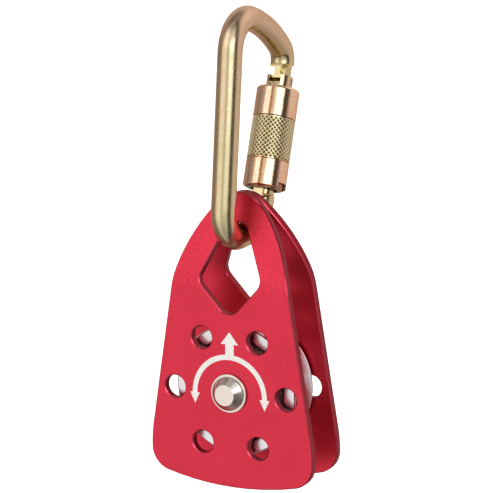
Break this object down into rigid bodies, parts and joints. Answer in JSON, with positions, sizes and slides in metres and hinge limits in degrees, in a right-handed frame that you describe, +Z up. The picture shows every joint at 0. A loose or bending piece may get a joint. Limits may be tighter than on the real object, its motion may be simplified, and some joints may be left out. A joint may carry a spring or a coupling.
{
  "type": "rescue pulley with locking carabiner",
  "caption": "Rope pulley with two bent swing side plates around a grooved sheave, hung by its kite-shaped eye from a twist-lock steel carabiner.",
  "frame": {"origin": "inside of the carabiner's top bend, where the assembly hangs", "axes": "+Z up the assembly, X across the side plates, Y along the sheave's axle with -Y towards the plate that carries the load arrows"},
  "size_m": [0.082, 0.0699, 0.215],
  "materials": {
    "red_anodised": "satin red anodised, fine matt grain, bright chamfered edges",
    "silver_alloy": "turned, clear anodised",
    "stainless": "turned stainless, satin",
    "bearing_steel": "ground and polished",
    "zinc_gold": "yellow zinc plate over forged and machined steel, slightly iridescent",
    "polished_gold": "yellow zinc plate over polished turned steel",
    "spring_steel": "drawn wire",
    "grey_nylon": "moulded"
  },
  "bodies": {
    "carabiner": {"carabiner_body": "zinc_gold", "gate_hinge_pin": "stainless"},
    "gate": {"gate_bar": "zinc_gold", "latch_pin": "stainless", "sleeve_stop_pin": "stainless", "gate_spring": "spring_steel", "sleeve_spring": "spring_steel"},
    "sleeve": {"locking_sleeve": "polished_gold", "sleeve_bush": "stainless"},
    "pusher": {"gate_pusher": "spring_steel"},
    "front_plate": {"front_side_plate": "red_anodised", "front_plate_bush": "stainless"},
    "rear_plate": {"rear_side_plate": "red_anodised", "rear_plate_bush": "stainless"},
    "axle": {"axle": "stainless", "axle_screw": "stainless", "front_spacer": "stainless", "rear_spacer": "stainless", "front_thrust_washer": "grey_nylon", "rear_thrust_washer": "grey_nylon", "bearing_inner_race": "bearing_steel"},
    "sheave": {"sheave": "silver_alloy", "bearing_outer_race": "bearing_steel", "front_bearing_shield": "bearing_steel", "rear_bearing_shield": "bearing_steel"},
    "cage": {"bearing_cage": "stainless", "bearing_ball_1": "bearing_steel", "bearing_ball_2": "bearing_steel", "bearing_ball_3": "bearing_steel", "bearing_ball_4": "bearing_steel", "bearing_ball_5": "bearing_steel", "bearing_ball_6": "bearing_steel", "bearing_ball_7": "bearing_steel", "bearing_ball_8": "bearing_steel"}
  },
  "joints": [
    {"name": "block_swing", "type": "hinge", "parent": "carabiner", "child": "front_plate", "pos_m": [0, -0.0083, -0.09], "axis": [0, 1, 0], "range_deg": [-60, 60]},
    {"name": "rear_plate_swing", "type": "hinge", "parent": "front_plate", "child": "rear_plate", "pos_m": [0, -0.0083, -0.1596], "axis": [0, 1, 0], "range_deg": [-0.45, 0.45]},
    {"name": "axle_turn", "type": "hinge", "parent": "front_plate", "child": "axle", "pos_m": [0, -0.0083, -0.1596], "axis": [0, 1, 0], "continuous": true},
    {"name": "sheave_spin", "type": "hinge", "parent": "axle", "child": "sheave", "pos_m": [0, -0.0083, -0.1596], "axis": [0, 1, 0], "continuous": true},
    {"name": "cage_spin", "type": "hinge", "parent": "axle", "child": "cage", "pos_m": [0, -0.0083, -0.1596], "axis": [0, 1, 0], "continuous": true},
    {"name": "gate_open", "type": "hinge", "parent": "carabiner", "child": "gate", "pos_m": [0, 0.00899, -0.0811], "axis": [1, 0, 0], "range_deg": [0, 25], "stiffness_Nm_per_rad": 0.25, "springref_deg": -17.19},
    {"name": "pusher_slide", "type": "slide", "parent": "gate", "child": "pusher", "axis": [0, 0.3338, 0.9426], "range_m": [0, 0.0013], "deforming": ["gate_spring"]},
    {"name": "sleeve_twist", "type": "hinge", "parent": "gate", "child": "sleeve", "pos_m": [0, 0.00899, -0.0811], "axis": [0, 0.3338, 0.9426], "range_deg": [-90, 0], "stiffness_Nm_per_rad": 0.02, "springref_deg": 22.92}
  ],
  "couplings": [
    {"joint": "cage_spin", "follows": "sheave_spin", "ratio": 0.62},
    {"joint": "pusher_slide", "follows": "gate_open", "m_per_rad": 0.0027}
  ]
}
